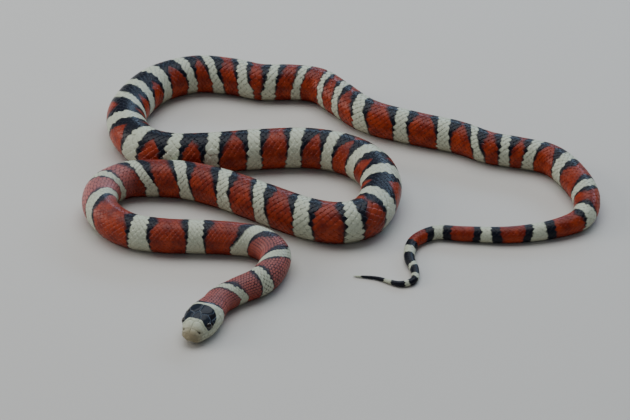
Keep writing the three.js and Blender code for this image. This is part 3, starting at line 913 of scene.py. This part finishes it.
class Paint:
    """One material's nodes."""

    def __init__(self, name, **constants):
        self.material = bpy.data.materials.new(name)
        self.material.use_nodes = True
        self.tree = self.material.node_tree
        self.shader = self.tree.nodes["Principled BSDF"]
        for socket, value in constants.items():
            self.shader.inputs[socket.replace("_", " ")].default_value = value

    def node(self, kind, settings, sockets, output=0):
        made = self.tree.nodes.new(kind)
        for name, value in settings.items():
            setattr(made, name, value)
        for name, value in sockets.items():
            value = value.socket if isinstance(value, Wire) else value
            if isinstance(value, bpy.types.NodeSocket):
                self.tree.links.new(value, made.inputs[name])
            else:
                made.inputs[name].default_value = value
        return Wire(self, made.outputs[output])

    def feed(self, socket, wire):
        self.tree.links.new(wire.socket, self.shader.inputs[socket])

    def attribute(self, name, output):
        return self.node("ShaderNodeAttribute", {"attribute_name": name}, {}, output)

    def parts(self, wire):
        first = self.node("ShaderNodeSeparateColor", {}, {0: wire})
        outputs = first.socket.node.outputs
        return [Wire(self, outputs[k]) for k in range(3)]

    def mix(self, share, low, high):
        low = (*low, 1) if isinstance(low, tuple) and len(low) == 3 else low
        high = (*high, 1) if isinstance(high, tuple) and len(high) == 3 else high
        return self.node("ShaderNodeMix", {"data_type": "RGBA"}, {0: share, 6: low, 7: high}, 2)

    def noise(self, scale, detail=2.0):
        place = self.node("ShaderNodeTexCoord", {}, {}, "Object")
        return self.node("ShaderNodeTexNoise", {}, {"Vector": place, "Scale": scale, "Detail": detail})

    def bump(self, height, strength=0.12, distance=0.1 * MM):
        sockets = {"Height": height, "Strength": strength, "Distance": distance}
        self.feed("Normal", self.node("ShaderNodeBump", {}, sockets))


def linear(colour):
    return tuple(c / 12.92 if c <= 0.04045 else ((c + 0.055) / 1.055) ** 2.4 for c in colour)


def snake_colours(paint, pale_sheen):
    """Red, black, cream and tan mixed by the markings, with a painted pale sheen that pales the red and
    turns the black bluish, and the pale share.
    """
    drift = paint.noise(260).rise(0.3, 0.7)
    grain = paint.noise(1500, 3).rise(0.35, 0.75)
    _, black_part, cream_part = paint.parts(paint.attribute("Markings", "Color"))
    not_black = 1.001 - black_part
    tan_part = (paint.attribute("Markings", "Alpha") / not_black).clipped()
    pale = (cream_part / not_black + tan_part).clipped()
    red = paint.mix(drift, linear(DARK_RED), linear(RED))
    red = paint.mix(pale_sheen, red, linear(PALE_SHEEN_RED))
    cream = paint.mix(grain * 0.35, linear(CREAM), linear(DULL_CREAM))
    colour = paint.mix(pale, red, cream)
    colour = paint.mix(tan_part, colour, linear(TAN))
    black = paint.mix(pale_sheen * 0.4, linear(BLACK), linear(SEAM_SHEEN))
    return paint.mix(black_part, colour, black), pale


def scale_finish():
    paint = Paint("glossy_scales", Specular_IOR_Level=0.16, Coat_Roughness=0.2, Coat_IOR=1.5)
    # Place carries the scale's own position, the paleness with its painted sheen, and the net.
    along, across, pale_sheen = paint.parts(paint.attribute("Place", "Color"))
    net = paint.attribute("Place", "Alpha")
    rim = across.size().rise(0.35, 0.9)
    tip = along.rise(0.72, 1.0)
    edge = (rim + tip * 0.6) * (paint.noise(700, 3).rise(0.3, 0.7) * 0.5 + 0.6)
    # On the pale rings the tips of some scales are darkened, and all rims a little: partly the rings' own
    # dark flecks, partly painted shade under the scale edges.
    fleck_and_shade = tip * paint.noise(420).rise(0.5, 0.62)
    colour, pale = snake_colours(paint, pale_sheen)
    on_pale_flecks_and_shade = edge * 0.13 + fleck_and_shade * 0.35
    dark = edge * net
    paint.feed("Base Color", paint.mix((dark + (on_pale_flecks_and_shade - dark) * pale).clipped(), colour, linear(NET_LINE)))
    grain = paint.noise(2600, 2)
    paint.feed("Roughness", grain * 0.12 + 0.27)
    paint.feed("Coat Weight", grain * 0.1 + 0.02)
    paint.bump(grain)
    return paint.material


def skin_finish():
    paint = Paint("skin", Specular_IOR_Level=0.12, Coat_Roughness=0.12, Coat_IOR=1.5)
    groove, deep_shade, seam = paint.parts(paint.attribute("Relief", "Color"))
    fleck = paint.noise(900, 4).rise(0.58, 0.7)
    # A painted bluish sheen over all of the head's black, a little stronger at the flecks.
    colour, pale = snake_colours(paint, fleck * 0.1 + 0.2)
    # A painted sheen along the rims of the black cap's plates.
    colour = paint.mix(seam * 0.6, colour, linear(SEAM_SHEEN))
    # The grooves between plates and the skin under the coat are darkened: partly the skin's own darker
    # colour, partly painted shade.
    dark = (groove * 0.6 + fleck * 0.2) * (1 - pale * 0.8)
    colour = paint.mix(dark * (1 - seam), colour, linear(GAP_SKIN_AND_SHADE))
    # The mouth, the nostrils and all the skin under the coat take a painted shade.
    paint.feed("Base Color", paint.mix(deep_shade * 0.8, colour, linear(GAP_SKIN_AND_SHADE)))
    grain = paint.noise(2200, 3)
    paint.feed("Roughness", grain * 0.1 + 0.12)
    paint.feed("Coat Weight", (1 - groove) * 0.08)
    paint.bump(grain)
    return paint.material


def eye_finish():
    paint = Paint("eye", Roughness=0.06, Specular_IOR_Level=0.6)
    angle = paint.attribute("Pupil", "Fac")
    pupil = 1 - angle.rise(0.42, 0.47)
    grain = paint.noise(3000, 3).rise(0.3, 0.8)
    iris = paint.mix(grain, linear(IRIS), linear(PALE_IRIS))
    paint.feed("Base Color", paint.mix(pupil, iris, linear(PUPIL)))
    return paint.material


# The model.
rng = np.random.default_rng(SEED)
skin_material = skin_finish()
scale_material = scale_finish()
skin = make_skin(skin_material)
flesh = [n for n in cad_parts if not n.startswith("eye_")]
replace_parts(skin, *flesh)
make_back_scales(rng, scale_material)
make_belly_plates(scale_material)
eye_material = eye_finish()
for eye_side in (1, -1):
    make_eye(eye_side, eye_material)


# Floor, light and camera.
CAMERA_AIM = Vector((-10.7, -7.455, 0)) * MM
CAMERA_RISE = math.radians(35)
CAMERA_FAR = 673.07 * MM
CAMERA_ANGLE = math.radians(20)
FLOOR_HALF, FLOOR_BELOW = 2.5, 0.2 * MM
AMBIENT_COLOUR, AMBIENT = (0.86, 0.92, 1.0, 1), 0.19


def stage_floor():
    bm = bmesh.new()
    bmesh.ops.create_grid(bm, x_segments=8, y_segments=8, size=FLOOR_HALF)
    mesh = bpy.data.meshes.new("floor")
    bm.to_mesh(mesh)
    bm.free()
    mesh.transform(Matrix.Translation((0, 0, -FLOOR_BELOW)))
    floor = bpy.data.objects.new("floor", mesh)
    bpy.context.scene.collection.objects.link(floor)
    paint = Paint("pale_floor", Roughness=0.9)
    paint.shader.inputs["Base Color"].default_value = (*linear(FLOOR), 1)
    mesh.materials.append(paint.material)


def softbox(name, place, size, power, colour):
    lamp = bpy.data.lights.new(name, "AREA")
    lamp.shape = "RECTANGLE"
    lamp.size, lamp.size_y = size
    lamp.energy = power
    lamp.color = colour
    holder = bpy.data.objects.new(name, lamp)
    holder.location = place
    holder.rotation_euler = (-Vector(place)).to_track_quat("-Z", "Y").to_euler()
    bpy.context.scene.collection.objects.link(holder)


stage_floor()
softbox("sky_light", (-0.1, 0.35, 1.05), (1.3, 0.9), 10.5, (0.93, 0.97, 1.0))
softbox("back_light", (0.6, 1.05, 0.6), (1.6, 0.3), 8.5, (0.5, 0.72, 1.0))
softbox("left_light", (-1.15, 0.2, 0.5), (0.5, 0.8), 6, (1.0, 0.96, 0.9))
world = bpy.data.worlds.new("studio")
world.use_nodes = True
world.node_tree.nodes["Background"].inputs["Color"].default_value = AMBIENT_COLOUR
world.node_tree.nodes["Background"].inputs["Strength"].default_value = AMBIENT
bpy.context.scene.world = world

lens = bpy.data.cameras.new("camera")
lens.sensor_fit = "HORIZONTAL"
lens.angle = CAMERA_ANGLE
lens.clip_start, lens.clip_end = 0.01, 20
camera = bpy.data.objects.new("camera", lens)
camera.location = CAMERA_AIM + Vector((0, -math.cos(CAMERA_RISE), math.sin(CAMERA_RISE))) * CAMERA_FAR
camera.rotation_euler = (math.pi / 2 - CAMERA_RISE, 0, 0)
bpy.context.scene.collection.objects.link(camera)
bpy.context.scene.camera = camera
